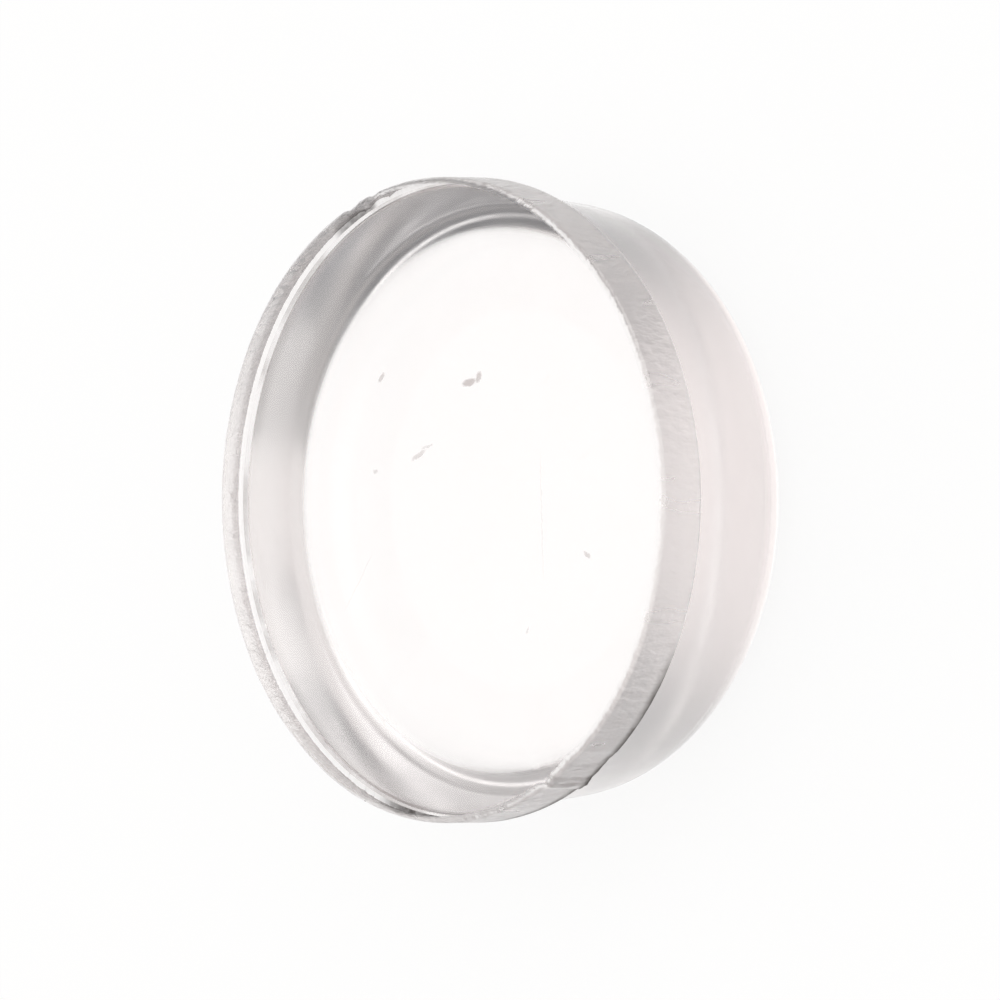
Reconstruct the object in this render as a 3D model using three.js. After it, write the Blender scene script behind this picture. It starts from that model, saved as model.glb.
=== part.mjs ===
// Clear self-adhesive bumper for a cabinet door: a round pad moulded in one piece.
// Units are millimetres, +Z is up. The bumper lies on its nose, the face that the door meets,
// with its flat adhesive face on top. The origin is the centre of the nose face.
import * as THREE from 'three';

// Foot: the thin round flange that carries the adhesive face
const FOOT_DIAMETER = 9.5;
const FOOT_THICKNESS = 0.8;
const FACE_EDGE_ROUNDING = 0.1;
const LOWER_EDGE_ROUNDING = 0.04;

// Pad: the thick round block that stands on the foot and takes the knock of the door
const OVERALL_HEIGHT = 3.2;
const SHOULDER_WIDTH = 0.17;
const DRAFT_ANGLE = 6.6;
const NOSE_ROUNDING = 0.9;
const ROOT_FILLET = 0.08;

// Fineness of the round stretches
const SEGMENTS_AROUND = 120;
const STEPS_PER_CORNER = 6;

const footRadius = FOOT_DIAMETER / 2;
const footUnderside = OVERALL_HEIGHT - FOOT_THICKNESS;
const rootRadius = footRadius - SHOULDER_WIDTH;
const noseRadius = rootRadius - footUnderside * Math.tan(THREE.MathUtils.degToRad(DRAFT_ANGLE));

// Points of the arc that rounds one corner of an outline, tangent to both of its sides
function roundedCorner(before, corner, after, radius) {
  const toBefore = before.clone().sub(corner).normalize();
  const toAfter = after.clone().sub(corner).normalize();
  const halfAngle = Math.acos(toBefore.dot(toAfter)) / 2;
  const tangentLength = radius / Math.tan(halfAngle);
  const centreDirection = toBefore.clone().add(toAfter).normalize();
  const centre = corner.clone().addScaledVector(centreDirection, radius / Math.sin(halfAngle));
  const start = corner.clone().addScaledVector(toBefore, tangentLength).sub(centre);
  const end = corner.clone().addScaledVector(toAfter, tangentLength).sub(centre);
  const sweep = Math.atan2(start.cross(end), start.dot(end));
  const points = [];
  for (let step = 0; step <= STEPS_PER_CORNER; step += 1) {
    const turned = start.clone().rotateAround(new THREE.Vector2(), (sweep * step) / STEPS_PER_CORNER);
    points.push(turned.add(centre));
  }
  return points;
}

// Half section of the bumper, from the centre of the nose to the centre of the adhesive face
function sectionPoints() {
  const corners = [
    { at: new THREE.Vector2(0, 0), radius: 0 },
    { at: new THREE.Vector2(noseRadius, 0), radius: NOSE_ROUNDING },
    { at: new THREE.Vector2(rootRadius, footUnderside), radius: ROOT_FILLET },
    { at: new THREE.Vector2(footRadius, footUnderside), radius: LOWER_EDGE_ROUNDING },
    { at: new THREE.Vector2(footRadius, OVERALL_HEIGHT), radius: FACE_EDGE_ROUNDING },
    { at: new THREE.Vector2(0, OVERALL_HEIGHT), radius: 0 },
  ];
  const points = [];
  corners.forEach((corner, index) => {
    if (corner.radius === 0) {
      points.push(corner.at);
      return;
    }
    const before = corners[index - 1].at;
    const after = corners[index + 1].at;
    points.push(...roundedCorner(before, corner.at, after, corner.radius));
  });
  return points;
}

// The whole bumper: its half section turned round the vertical axis
function makeBumperBody() {
  const geometry = new THREE.LatheGeometry(sectionPoints(), SEGMENTS_AROUND);
  geometry.rotateX(Math.PI / 2);
  const clearPolyurethane = new THREE.MeshStandardMaterial({
    color: 0xeceded,
    roughness: 0.08,
    metalness: 0,
    transparent: true,
    opacity: 0.35,
  });
  const body = new THREE.Mesh(geometry, clearPolyurethane);
  body.name = 'bumper_body';
  return body;
}

const cabinetDoorBumper = new THREE.Group();
cabinetDoorBumper.add(makeBumperBody());

export default cabinetDoorBumper;
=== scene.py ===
"""Clear round cabinet door bumper, lying on its nose with the flat adhesive face on top."""

import math

import bmesh
import bpy
from mathutils import Matrix, Vector, noise


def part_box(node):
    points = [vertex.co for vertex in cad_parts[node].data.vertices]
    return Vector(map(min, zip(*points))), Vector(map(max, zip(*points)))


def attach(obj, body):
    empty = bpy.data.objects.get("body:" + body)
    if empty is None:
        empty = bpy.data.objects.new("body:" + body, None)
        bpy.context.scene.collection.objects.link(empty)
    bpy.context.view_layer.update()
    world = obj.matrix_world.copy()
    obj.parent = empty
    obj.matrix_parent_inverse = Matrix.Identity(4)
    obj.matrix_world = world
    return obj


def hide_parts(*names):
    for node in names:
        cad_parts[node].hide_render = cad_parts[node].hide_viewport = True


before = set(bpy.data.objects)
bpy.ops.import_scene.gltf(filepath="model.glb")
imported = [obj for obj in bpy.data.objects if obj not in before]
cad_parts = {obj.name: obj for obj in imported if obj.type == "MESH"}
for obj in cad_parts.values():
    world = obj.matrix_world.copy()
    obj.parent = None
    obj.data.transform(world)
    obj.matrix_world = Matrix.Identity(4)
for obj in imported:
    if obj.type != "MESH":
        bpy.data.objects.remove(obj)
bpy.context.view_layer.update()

MM = 0.001
low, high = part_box("bumper_body")

# Half section of the bumper, in metres: the box gives the two overall sizes
FOOT_RADIUS = (high[0] - low[0]) / 2
OVERALL_HEIGHT = high[2] - low[2]
FOOT_THICKNESS = 0.8 * MM
SHOULDER_WIDTH = 0.17 * MM
DRAFT_ANGLE = math.radians(6.6)
NOSE_ROUNDING = 0.9 * MM
ROOT_FILLET = 0.08 * MM
FACE_EDGE_ROUNDING = 0.1 * MM
LOWER_EDGE_ROUNDING = 0.04 * MM
UNDERSIDE = OVERALL_HEIGHT - FOOT_THICKNESS

# Fineness of the visible mesh, and how strongly large faces lead its normals
SEGMENTS_AROUND = 960
CORNER_STEPS = 10
SIDE_STEPS = 5
ON_AXIS = 1e-9
NORMAL_WEIGHT = 100

# Marks of the cutting tool in the foot's edge: slow waves and fine upright strokes
WAVE_DEPTH = 0.02 * MM
WAVES_AROUND = 3.0
STROKE_DEPTH = 0.004 * MM
STROKES_AROUND = 26.0
# Nicks and one burr of that edge: place round the axis, half width, depth inwards. A nick's depth is ragged
# round this share of its full value, by this much.
NICK_MEAN = 0.75
NICK_SPREAD = 0.5
NICKS = [
    (math.radians(114), math.radians(2.2), 0.05 * MM),
    (math.radians(108), math.radians(1.4), 0.035 * MM),
    (math.radians(-61), math.radians(2.0), -0.06 * MM),
    (math.radians(-54), math.radians(3.0), 0.03 * MM),
]

# Finishes of the one moulded piece, in the order of its material slots: name, least and greatest roughness,
# size and stretch of the patches between which it changes
NOSE, MOULDED, SCORED, FACE = range(4)
FINISHES = [
    ("nose", (0.01, 0.05), 1.5 * MM, (1, 1, 1)),
    ("moulded", (0.14, 0.2), 0.8 * MM, (1, 1, 1)),
    ("scored", (0.27, 0.33), 0.5 * MM, (1, 1, 0.2)),
    ("face", (0.01, 0.05), 1.2 * MM, (1, 1, 1)),
]

# Clear polyurethane, with the tint of its palest and of its warmest patches
REFRACTIVE_INDEX = 1.5
GLASS_TINT = (0.985, 0.982, 0.98)
WARMER_TINT = (0.985, 0.96727, 0.9604)
ABSORPTION_COLOUR = (0.35, 0.26, 0.24)
ABSORPTION_DENSITY = 22.0

# Fine grain that the cutting tool leaves
GRAIN_SIZE = 0.14 * MM
GRAIN_STRETCH = (1.0, 1.0, 0.5)
GRAIN_DEPTH = 0.03 * MM

# Spans of the noise textures that are stretched out to a full change, and the octaves of the textures
GLOSS_SPAN = (0.3, 0.7)
SHOULDER_SHADE_SPAN = (0.35, 0.65)
EDGE_SHADE_SPAN = (0.35, 0.6)
GRAIN_DETAIL = 2.0
PATCH_DETAIL = 3.0
SHADE_DETAIL = 4.0

# Dust and scratches on the adhesive face: place in X and Y, length, width, turn, strength. A mark fades out
# between these shares of its size, and noise pushes its outline about.
# Roughness of the matt layer, and its colour for the dust on the face and for the painted shade on the
# shoulder
DUST_AND_SHADE_ROUGHNESS = 0.8
DUST_AND_SHADE_COLOUR = (0.42, 0.35, 0.33)
MARK_EDGE = (0.6, 1.3)
MARK_NOISE_SIZE = 0.08 * MM
MARK_NOISE_PUSH = 0.07 * MM
FACE_MARKS = [
    (0.66 * MM, 1.72 * MM, 0.15 * MM, 0.055 * MM, math.radians(10), 0.6),
    (0.86 * MM, 1.80 * MM, 0.09 * MM, 0.05 * MM, math.radians(60), 0.5),
    (-1.22 * MM, 1.80 * MM, 0.09 * MM, 0.035 * MM, math.radians(50), 0.45),
    (-0.42 * MM, 0.66 * MM, 0.16 * MM, 0.035 * MM, math.radians(25), 0.35),
    (-0.24 * MM, 0.78 * MM, 0.12 * MM, 0.02 * MM, math.radians(15), 0.25),
    (3.16 * MM, -0.80 * MM, 0.08 * MM, 0.03 * MM, math.radians(-30), 0.4),
    (-1.35 * MM, 0.42 * MM, 0.05 * MM, 0.03 * MM, math.radians(0), 0.3),
    (1.9 * MM, -1.9 * MM, 0.06 * MM, 0.02 * MM, math.radians(70), 0.25),
    (2.2 * MM, -0.25 * MM, 0.85 * MM, 0.012 * MM, math.radians(92), 0.10),
    (-1.7 * MM, -1.2 * MM, 0.50 * MM, 0.010 * MM, math.radians(55), 0.07),
]

# Painted shade as a thin patchy matt film on the narrow shoulder: how far down it reaches, least and
# greatest share, patch size
SHOULDER_SHADE_DEPTH = 0.12 * MM
SHOULDER_SHADE = (0.08, 0.45)
SHOULDER_SHADE_PATCH = 0.9 * MM

# Painted shade, a dark line along the lower edge of the cut: place round the axis, half width, height,
# strength. A patch keeps its full strength within this share of its half width.
EDGE_SHADE_COLOUR = (0.10, 0.085, 0.08)
EDGE_SHADE_GRAIN = 0.22 * MM
EDGE_SHADE_UNEVEN = (0.7, 1.0)
EDGE_SHADE_CORE = 0.5
EDGE_SHADE = [
    (math.radians(-58), math.radians(34), 0.2 * MM, 1.0),
    (math.radians(-90), math.radians(24), 0.13 * MM, 1.0),
    (math.radians(118), math.radians(7), 0.06 * MM, 0.8),
    (math.radians(0), math.radians(180), 0.03 * MM, 0.12),
]

# White floor, with darker patches of painted shade that only light guided by the body's walls meets. A
# patch lies where the place along each of its directions has passed from the first value to the second.
FLOOR_SIZE = 1.2
FLOOR_GAP = 0.02 * MM
FLOOR_GLOW = 0.9
SEEN_THROUGH_GLOW = 1.17
STRAIGHT_THROUGH_BOUNCES = 2
FLOOR_SEEN = (1.0, 0.998, 0.995)
FLOOR_WHITE = (1.0, 0.985, 0.975)
UPPER_LEFT = [
    ((0.87, 0.49, 0.0), -2.02 * MM, -1.86 * MM),
    ((1.0, 0.0, 0.0), 0.7 * MM, -0.1 * MM),
    ((0.0, 1.0, 0.0), 0.3 * MM, 0.8 * MM),
]
LOWER_RIGHT = [
    ((1.0, 0.0, 0.0), -2.2 * MM, -1.4 * MM),
    ((0.0, 1.0, 0.0), -1.5 * MM, -2.3 * MM),
]
UPPER_LEFT_SHADE = (0.27, 0.28, 0.295)
LOWER_RIGHT_SHADE = (0.57, 0.565, 0.56)
# The upper-left patch of painted shade is paler from under the nose's rounding outwards
NOSE_EDGE_REACH = (3.3 * MM, 3.7 * MM)
NOSE_EDGE_SHADE = (0.42, 0.425, 0.43)

# Soft light of the surroundings: direction, cosine where it starts, colour
WORLD_BASE = (0.2, 0.205, 0.215)
WORLD_PANELS = [
    ((1, 0.35, 0.22), 0.28, (1.1, 1.09, 1.08)),
    ((-1, -0.15, 0.4), 0.6, (0.94, 0.87, 0.85)),
    ((0, 1, 0.4), 0.2, (0.42, 0.41, 0.4)),
    ((0.2, 0, 1), 0.7, (1.2, 1.2, 1.2)),
]
LIGHT_BOUNCES = 24

# The camera stands off the bumper's axis by this angle, on the +X side, with +Y up in the picture
VIEW_ANGLE = math.radians(46.5)
CAMERA_DISTANCE = 0.30
CAMERA_TARGET = (-0.37 * MM, 0.0, OVERALL_HEIGHT / 2)
PICTURE_WIDTH = 14.73 * MM
SENSOR_WIDTH = 36.0
CLIP_START = 0.01
CLIP_END = 10.0


def rounded_corner(before, corner, after, radius):
    """Points of the arc that rounds one corner of an outline, tangent to both of its sides."""
    to_before = (before - corner).normalized()
    to_after = (after - corner).normalized()
    half_angle = to_before.angle(to_after) / 2
    tangent_length = radius / math.tan(half_angle)
    centre = corner + (to_before + to_after).normalized() * (radius / math.sin(half_angle))
    start = corner + to_before * tangent_length - centre
    end = corner + to_after * tangent_length - centre
    sweep = math.atan2(start.x * end.y - start.y * end.x, start.dot(end))
    points = []
    for step in range(CORNER_STEPS + 1):
        turn = Matrix.Rotation(sweep * step / CORNER_STEPS, 2)
        points.append(centre + turn @ start)
    return points


def side_steps(start, end):
    """Points between two ends of a straight side, without the ends."""
    return [start.lerp(end, step / SIDE_STEPS) for step in range(1, SIDE_STEPS)]


def section_stretches():
    """Half section from the nose's centre to the adhesive face's, as stretches of (finish, points)."""
    root_radius = FOOT_RADIUS - SHOULDER_WIDTH
    nose_radius = root_radius - UNDERSIDE * math.tan(DRAFT_ANGLE)
    nose_centre = Vector((0.0, 0.0))
    nose_corner = Vector((nose_radius, 0.0))
    root_corner = Vector((root_radius, UNDERSIDE))
    lower_edge = Vector((FOOT_RADIUS, UNDERSIDE))
    upper_edge = Vector((FOOT_RADIUS, OVERALL_HEIGHT))
    face_centre = Vector((0.0, OVERALL_HEIGHT))
    nose_arc = rounded_corner(nose_centre, nose_corner, root_corner, NOSE_ROUNDING)
    root_arc = rounded_corner(nose_corner, root_corner, lower_edge, ROOT_FILLET)
    lower_arc = rounded_corner(root_corner, lower_edge, upper_edge, LOWER_EDGE_ROUNDING)
    upper_arc = rounded_corner(lower_edge, upper_edge, face_centre, FACE_EDGE_ROUNDING)
    return [
        (NOSE, [nose_centre] + side_steps(nose_centre, nose_arc[0])),
        (MOULDED, nose_arc),
        (MOULDED, side_steps(nose_arc[-1], root_arc[0])),
        (MOULDED, root_arc),
        (SCORED, lower_arc),
        (SCORED, side_steps(lower_arc[-1], upper_arc[0])),
        (SCORED, upper_arc),
        (FACE, side_steps(upper_arc[-1], face_centre) + [face_centre]),
    ]


def cut_offset(angle, height):
    """How far the cut edge stands inside its true circle: slow waves, fine upright strokes, nicks."""
    direction = Vector((math.cos(angle), math.sin(angle), 0))
    slow = noise.noise(direction * WAVES_AROUND)
    strokes = noise.noise(direction * STROKES_AROUND + Vector((0, 0, height / MM)))
    offset = WAVE_DEPTH * (0.5 + 0.5 * slow) + STROKE_DEPTH * (0.5 + 0.5 * strokes)
    for place, half_width, depth in NICKS:
        away = math.remainder(angle - place, 2 * math.pi) / half_width
        if abs(away) < 1:
            ragged = NICK_MEAN + NICK_SPREAD * noise.noise(Vector((away * 3, place, height / MM * 2)))
            offset += depth * (1 - away * away) * ragged
    return offset


def turned_mesh(name, stretches, segments):
    """Closed mesh of a half section turned round the vertical axis, with the cut edge's own marks."""
    mesh_builder = bmesh.new()
    rings = []
    for finish, points in stretches:
        for point in points:
            steps = 1 if point.x < ON_AXIS else segments
            ring = []
            for index in range(steps):
                angle = 2 * math.pi * index / segments
                radius = point.x
                if finish == SCORED:
                    radius -= cut_offset(angle, point.y)
                place = (radius * math.cos(angle), radius * math.sin(angle), point.y)
                ring.append(mesh_builder.verts.new(place))
            rings.append((finish, ring))
    for (finish, ring), (next_finish, next_ring) in zip(rings, rings[1:]):
        for index in range(segments):
            following = (index + 1) % segments
            corners = [ring[index % len(ring)], ring[following % len(ring)],
                       next_ring[following % len(next_ring)], next_ring[index % len(next_ring)]]
            corners = list(dict.fromkeys(corners))
            face = mesh_builder.faces.new(corners)
            face.material_index = next_finish
            face.smooth = True
    bmesh.ops.recalc_face_normals(mesh_builder, faces=mesh_builder.faces)
    mesh = bpy.data.meshes.new(name)
    mesh_builder.to_mesh(mesh)
    mesh_builder.free()
    return mesh


def add_node(nodes, kind, **settings):
    """New shader node with some of its plain settings."""
    node = nodes.new(kind)
    for name, value in settings.items():
        setattr(node, name, value)
    return node


def math_node(nodes, links, operation, first, second):
    """Math node on two inputs, each an output socket or a number."""
    node = add_node(nodes, "ShaderNodeMath", operation=operation)
    for socket, value in zip(node.inputs, (first, second)):
        if isinstance(value, (int, float)):
            socket.default_value = value
        else:
            links.new(value, socket)
    return node.outputs[0]


def map_range(nodes, links, value, from_low, from_high, to_low=0.0, to_high=1.0, smooth=True):
    """Map Range node from one span of a value to another."""
    node = add_node(nodes, "ShaderNodeMapRange", interpolation_type="SMOOTHSTEP" if smooth else "LINEAR")
    numbers = {"From Min": from_low, "From Max": from_high, "To Min": to_low, "To Max": to_high}
    for name, number in numbers.items():
        node.inputs[name].default_value = number
    links.new(value, node.inputs["Value"])
    return node.outputs[0]


def object_noise(nodes, links, size, detail, stretch=(1, 1, 1)):
    """Noise texture in the object's own coordinates, with patches of about one size."""
    coordinates = nodes.new("ShaderNodeTexCoord")
    mapping = nodes.new("ShaderNodeMapping")
    mapping.inputs["Scale"].default_value = [part / size for part in stretch]
    links.new(coordinates.outputs["Object"], mapping.inputs["Vector"])
    texture = nodes.new("ShaderNodeTexNoise")
    texture.inputs["Scale"].default_value = 1.0
    texture.inputs["Detail"].default_value = detail
    links.new(mapping.outputs[0], texture.inputs["Vector"])
    return texture


def object_axes(nodes, links):
    """The object's own X, Y and Z, as outputs."""
    coordinates = nodes.new("ShaderNodeTexCoord")
    axes = nodes.new("ShaderNodeSeparateXYZ")
    links.new(coordinates.outputs["Object"], axes.inputs[0])
    return axes.outputs


def clear_material(name, roughness_span, patch_size, patch_stretch):
    """Clear soft polyurethane whose gloss changes a little from patch to patch."""
    material = bpy.data.materials.new(name)
    material.use_nodes = True
    nodes = material.node_tree.nodes
    links = material.node_tree.links
    shader = nodes["Principled BSDF"]
    shader.inputs["Base Color"].default_value = (*GLASS_TINT, 1)
    shader.inputs["IOR"].default_value = REFRACTIVE_INDEX
    shader.inputs["Transmission Weight"].default_value = 1.0
    patches = object_noise(nodes, links, patch_size, PATCH_DETAIL, patch_stretch)
    roughness = map_range(nodes, links, patches.outputs[0], *GLOSS_SPAN, *roughness_span)
    links.new(roughness, shader.inputs["Roughness"])
    tint = nodes.new("ShaderNodeMix")
    tint.data_type = "RGBA"
    tint.inputs["A"].default_value = (*GLASS_TINT, 1)
    tint.inputs["B"].default_value = (*WARMER_TINT, 1)
    links.new(patches.outputs[0], tint.inputs["Factor"])
    links.new(tint.outputs["Result"], shader.inputs["Base Color"])
    absorption = nodes.new("ShaderNodeVolumeAbsorption")
    absorption.inputs["Color"].default_value = (*ABSORPTION_COLOUR, 1)
    absorption.inputs["Density"].default_value = ABSORPTION_DENSITY
    links.new(absorption.outputs[0], nodes["Material Output"].inputs["Volume"])
    return material


def roughen(material, grain_size, grain_stretch, depth):
    """Gives a material a fine grain that stands out by a small depth."""
    nodes = material.node_tree.nodes
    links = material.node_tree.links
    grain = object_noise(nodes, links, grain_size, GRAIN_DETAIL, grain_stretch)
    bump = nodes.new("ShaderNodeBump")
    bump.inputs["Distance"].default_value = depth
    links.new(grain.outputs[0], bump.inputs["Height"])
    links.new(bump.outputs[0], nodes["Principled BSDF"].inputs["Normal"])


def add_dust_and_shade(material, colour, share):
    """Mixes a matt layer, real dust on the face and painted shade on the edge and shoulder, over a material
    where a share, found by a function of its node tree, says so.
    """
    nodes = material.node_tree.nodes
    links = material.node_tree.links
    dust_and_shade_shader = nodes.new("ShaderNodeBsdfPrincipled")
    dust_and_shade_shader.inputs["Base Color"].default_value = (*colour, 1)
    dust_and_shade_shader.inputs["Roughness"].default_value = DUST_AND_SHADE_ROUGHNESS
    mix = nodes.new("ShaderNodeMixShader")
    links.new(share(nodes, links), mix.inputs[0])
    links.new(nodes["Principled BSDF"].outputs[0], mix.inputs[1])
    links.new(dust_and_shade_shader.outputs[0], mix.inputs[2])
    links.new(mix.outputs[0], nodes["Material Output"].inputs["Surface"])


def ragged_coordinates(nodes, links, size, amount):
    """Object coordinates pushed about by noise, so that a mark gets a ragged outline."""
    coordinates = nodes.new("ShaderNodeTexCoord")
    ragged = object_noise(nodes, links, size, PATCH_DETAIL)
    centred = add_node(nodes, "ShaderNodeVectorMath", operation="SUBTRACT")
    centred.inputs[1].default_value = (0.5, 0.5, 0.5)
    links.new(ragged.outputs["Color"], centred.inputs[0])
    push = add_node(nodes, "ShaderNodeVectorMath", operation="SCALE")
    push.inputs["Scale"].default_value = amount
    links.new(centred.outputs[0], push.inputs[0])
    moved = add_node(nodes, "ShaderNodeVectorMath", operation="ADD")
    links.new(coordinates.outputs["Object"], moved.inputs[0])
    links.new(push.outputs[0], moved.inputs[1])
    return moved.outputs[0]


def face_marks(nodes, links):
    """Share of dust on the adhesive face: its few specks and short scratches."""
    place = ragged_coordinates(nodes, links, MARK_NOISE_SIZE, MARK_NOISE_PUSH)
    total = None
    for x, y, length, width, turn, strength in FACE_MARKS:
        mapping = add_node(nodes, "ShaderNodeMapping", vector_type="TEXTURE")
        mapping.inputs["Location"].default_value = (x, y, OVERALL_HEIGHT)
        mapping.inputs["Rotation"].default_value = (0, 0, turn)
        mapping.inputs["Scale"].default_value = (length, width, MM)
        links.new(place, mapping.inputs["Vector"])
        distance = add_node(nodes, "ShaderNodeVectorMath", operation="LENGTH")
        links.new(mapping.outputs[0], distance.inputs[0])
        mark = map_range(nodes, links, distance.outputs["Value"], *MARK_EDGE, strength, 0.0)
        total = mark if total is None else math_node(nodes, links, "MAXIMUM", total, mark)
    return total


def edge_shade(nodes, links):
    """Share of painted shade along the lower edge of the cut, patch by patch."""
    axes = object_axes(nodes, links)
    flat = nodes.new("ShaderNodeCombineXYZ")
    links.new(axes["X"], flat.inputs["X"])
    links.new(axes["Y"], flat.inputs["Y"])
    outwards = add_node(nodes, "ShaderNodeVectorMath", operation="NORMALIZE")
    links.new(flat.outputs[0], outwards.inputs[0])
    grains = object_noise(nodes, links, EDGE_SHADE_GRAIN, SHADE_DETAIL)
    uneven = map_range(nodes, links, grains.outputs[0], *EDGE_SHADE_SPAN, *EDGE_SHADE_UNEVEN)
    total = None
    for place, half_width, height, strength in EDGE_SHADE:
        towards = add_node(nodes, "ShaderNodeVectorMath", operation="DOT_PRODUCT")
        towards.inputs[1].default_value = (math.cos(place), math.sin(place), 0)
        links.new(outwards.outputs[0], towards.inputs[0])
        rim = math.cos(half_width)
        core = math.cos(half_width * EDGE_SHADE_CORE)
        near = map_range(nodes, links, towards.outputs["Value"], rim, core, 0.0, strength)
        low_down = map_range(nodes, links, axes["Z"], UNDERSIDE, UNDERSIDE + height, 1.0, 0.0)
        patch = math_node(nodes, links, "MULTIPLY", near, low_down)
        total = patch if total is None else math_node(nodes, links, "MAXIMUM", total, patch)
    return math_node(nodes, links, "MULTIPLY", total, uneven)


def shoulder_shade(nodes, links):
    """Share of the thin patchy film of painted shade on the narrow shoulder between foot and pad."""
    axes = object_axes(nodes, links)
    near = map_range(nodes, links, axes["Z"], UNDERSIDE - SHOULDER_SHADE_DEPTH, UNDERSIDE)
    patches = object_noise(nodes, links, SHOULDER_SHADE_PATCH, SHADE_DETAIL)
    patchy = map_range(nodes, links, patches.outputs[0], *SHOULDER_SHADE_SPAN, *SHOULDER_SHADE)
    return math_node(nodes, links, "MULTIPLY", near, patchy)


def make_body():
    """The clear bumper, with a finish for each of its stretches."""
    mesh = turned_mesh("bumper_body_visual", section_stretches(), SEGMENTS_AROUND)
    body = bpy.data.objects.new("bumper_body_visual", mesh)
    bpy.context.scene.collection.objects.link(body)
    materials = [clear_material(*finish) for finish in FINISHES]
    roughen(materials[SCORED], GRAIN_SIZE, GRAIN_STRETCH, GRAIN_DEPTH)
    # Painted shade along the cut's lower edge and on the shoulder; real dust and scratches on the adhesive
    # face
    add_dust_and_shade(materials[SCORED], EDGE_SHADE_COLOUR, edge_shade)
    add_dust_and_shade(materials[MOULDED], DUST_AND_SHADE_COLOUR, shoulder_shade)
    add_dust_and_shade(materials[FACE], DUST_AND_SHADE_COLOUR, face_marks)
    for material in materials:
        mesh.materials.append(material)
    weighted = body.modifiers.new("even_normals", "WEIGHTED_NORMAL")
    weighted.weight = NORMAL_WEIGHT
    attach(body, "root")
    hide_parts("bumper_body")


def make_floor():
    """White floor: it shows as white, keeps the bumper's soft shadow, and has patches of painted shade for
    light that the body guides to it.
    """
    bpy.ops.mesh.primitive_plane_add(size=FLOOR_SIZE, location=(0, 0, low[2] - FLOOR_GAP))
    floor = bpy.context.object
    floor.name = "floor"
    material = bpy.data.materials.new("white_floor")
    material.use_nodes = True
    nodes = material.node_tree.nodes
    links = material.node_tree.links
    nodes.clear()
    seen = seen_directly(nodes, links)
    colour = nodes.new("ShaderNodeMix")
    colour.data_type = "RGBA"
    colour.inputs["B"].default_value = (*FLOOR_SEEN, 1)
    links.new(seen, colour.inputs["Factor"])
    links.new(floor_painted_shade(nodes, links), colour.inputs["A"])
    diffuse = nodes.new("ShaderNodeBsdfDiffuse")
    links.new(colour.outputs["Result"], diffuse.inputs["Color"])
    glow = nodes.new("ShaderNodeEmission")
    links.new(colour.outputs["Result"], glow.inputs["Color"])
    path = nodes.new("ShaderNodeLightPath")
    for_camera = path.outputs["Is Camera Ray"]
    strength = map_range(nodes, links, for_camera, 0, 1, SEEN_THROUGH_GLOW, 1.0, smooth=False)
    links.new(strength, glow.inputs["Strength"])
    mix = nodes.new("ShaderNodeMixShader")
    mix.inputs[0].default_value = FLOOR_GLOW
    links.new(diffuse.outputs[0], mix.inputs[1])
    links.new(glow.outputs[0], mix.inputs[2])
    output = nodes.new("ShaderNodeOutputMaterial")
    links.new(mix.outputs[0], output.inputs[0])
    floor.data.materials.append(material)


def floor_painted_shade(nodes, links):
    """Colour of the floor for guided light: white, with its darker patches of painted shade."""
    coordinates = nodes.new("ShaderNodeTexCoord").outputs["Object"]
    upper_left = patch_share(nodes, links, coordinates, UPPER_LEFT)
    lower_right = patch_share(nodes, links, coordinates, LOWER_RIGHT)
    reach = add_node(nodes, "ShaderNodeVectorMath", operation="LENGTH")
    links.new(coordinates, reach.inputs[0])
    outer = map_range(nodes, links, reach.outputs["Value"], *NOSE_EDGE_REACH)
    nose_edge = math_node(nodes, links, "MULTIPLY", upper_left, outer)
    colour = tinted(nodes, links, None, UPPER_LEFT_SHADE, upper_left)
    colour = tinted(nodes, links, colour, LOWER_RIGHT_SHADE, lower_right)
    return tinted(nodes, links, colour, NOSE_EDGE_SHADE, nose_edge)


def patch_share(nodes, links, coordinates, limits):
    """1 within a patch of painted shade on the floor, 0 away from it."""
    share = None
    for direction, start, full in limits:
        along = add_node(nodes, "ShaderNodeVectorMath", operation="DOT_PRODUCT")
        along.inputs[1].default_value = direction
        links.new(coordinates, along.inputs[0])
        inside = map_range(nodes, links, along.outputs["Value"], start, full)
        share = inside if share is None else math_node(nodes, links, "MULTIPLY", share, inside)
    return share


def tinted(nodes, links, colour, other, share):
    """A colour, or the floor's white where there is none, mixed with another by a share."""
    mix = nodes.new("ShaderNodeMix")
    mix.data_type = "RGBA"
    mix.inputs["A"].default_value = (*FLOOR_WHITE, 1)
    if colour is not None:
        links.new(colour, mix.inputs["A"])
    mix.inputs["B"].default_value = (*other, 1)
    links.new(share, mix.inputs["Factor"])
    return mix.outputs["Result"]


def seen_directly(nodes, links):
    """1 for the eye's rays, straight or straight through the bumper, and 0 for rays that bounced more."""
    path = nodes.new("ShaderNodeLightPath")
    level = path.outputs["Is Camera Ray"]
    for kind in ("Is Glossy Ray", "Is Transmission Ray"):
        level = math_node(nodes, links, "MAXIMUM", level, path.outputs[kind])
    few = math_node(nodes, links, "LESS_THAN", path.outputs["Ray Depth"], STRAIGHT_THROUGH_BOUNCES + 0.5)
    return math_node(nodes, links, "MULTIPLY", level, few)


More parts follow.
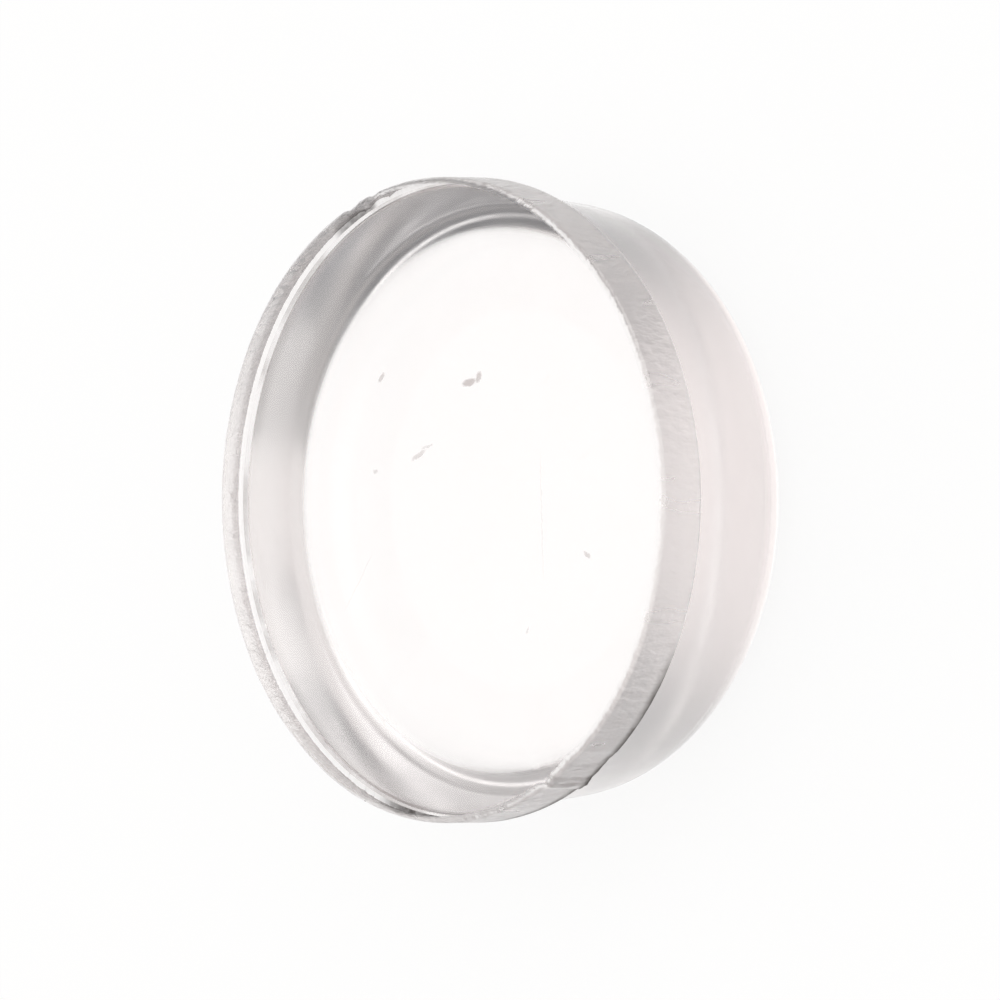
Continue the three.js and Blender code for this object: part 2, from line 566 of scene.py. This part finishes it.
def make_world():
    """Soft studio surroundings, with light from each side, and white where the camera looks past them."""
    world = bpy.data.worlds.new("studio")
    bpy.context.scene.world = world
    world.use_nodes = True
    nodes = world.node_tree.nodes
    links = world.node_tree.links
    background = nodes["Background"]
    coordinates = nodes.new("ShaderNodeTexCoord")
    total = None
    for direction, start, colour in WORLD_PANELS:
        towards = add_node(nodes, "ShaderNodeVectorMath", operation="DOT_PRODUCT")
        towards.inputs[1].default_value = Vector(direction).normalized()
        links.new(coordinates.outputs["Generated"], towards.inputs[0])
        share = add_node(nodes, "ShaderNodeVectorMath", operation="SCALE")
        share.inputs[0].default_value = colour
        links.new(map_range(nodes, links, towards.outputs["Value"], start, 1.0), share.inputs["Scale"])
        add = add_node(nodes, "ShaderNodeVectorMath", operation="ADD")
        add.inputs[1].default_value = WORLD_BASE
        if total is not None:
            links.new(total, add.inputs[1])
        links.new(share.outputs[0], add.inputs[0])
        total = add.outputs[0]
    path = nodes.new("ShaderNodeLightPath")
    choose = nodes.new("ShaderNodeMix")
    choose.data_type = "RGBA"
    choose.inputs["B"].default_value = (1, 1, 1, 1)
    links.new(path.outputs["Is Camera Ray"], choose.inputs["Factor"])
    links.new(total, choose.inputs["A"])
    links.new(choose.outputs["Result"], background.inputs["Color"])


def let_light_through():
    """Light that is guided inside the clear body needs many bounces to come out again."""
    settings = bpy.context.scene.cycles
    settings.max_bounces = LIGHT_BOUNCES
    settings.transmission_bounces = LIGHT_BOUNCES
    settings.glossy_bounces = LIGHT_BOUNCES


def make_camera():
    """Camera that looks down on the adhesive face from the +X side."""
    camera_data = bpy.data.cameras.new("camera")
    camera = bpy.data.objects.new("camera", camera_data)
    bpy.context.scene.collection.objects.link(camera)
    towards = Vector((math.sin(VIEW_ANGLE), 0, math.cos(VIEW_ANGLE)))
    up = Vector((0, 1, 0))
    right = up.cross(towards)
    place = Vector(CAMERA_TARGET) + towards * CAMERA_DISTANCE
    camera.matrix_world = Matrix((
        (right.x, up.x, towards.x, place.x),
        (right.y, up.y, towards.y, place.y),
        (right.z, up.z, towards.z, place.z),
        (0, 0, 0, 1)))
    camera_data.sensor_width = SENSOR_WIDTH
    camera_data.lens = SENSOR_WIDTH * CAMERA_DISTANCE / PICTURE_WIDTH
    camera_data.clip_start = CLIP_START
    camera_data.clip_end = CLIP_END
    bpy.context.scene.camera = camera


make_body()
make_floor()
make_world()
make_camera()
let_light_through()
bpy.context.scene.view_settings.view_transform = "Standard"
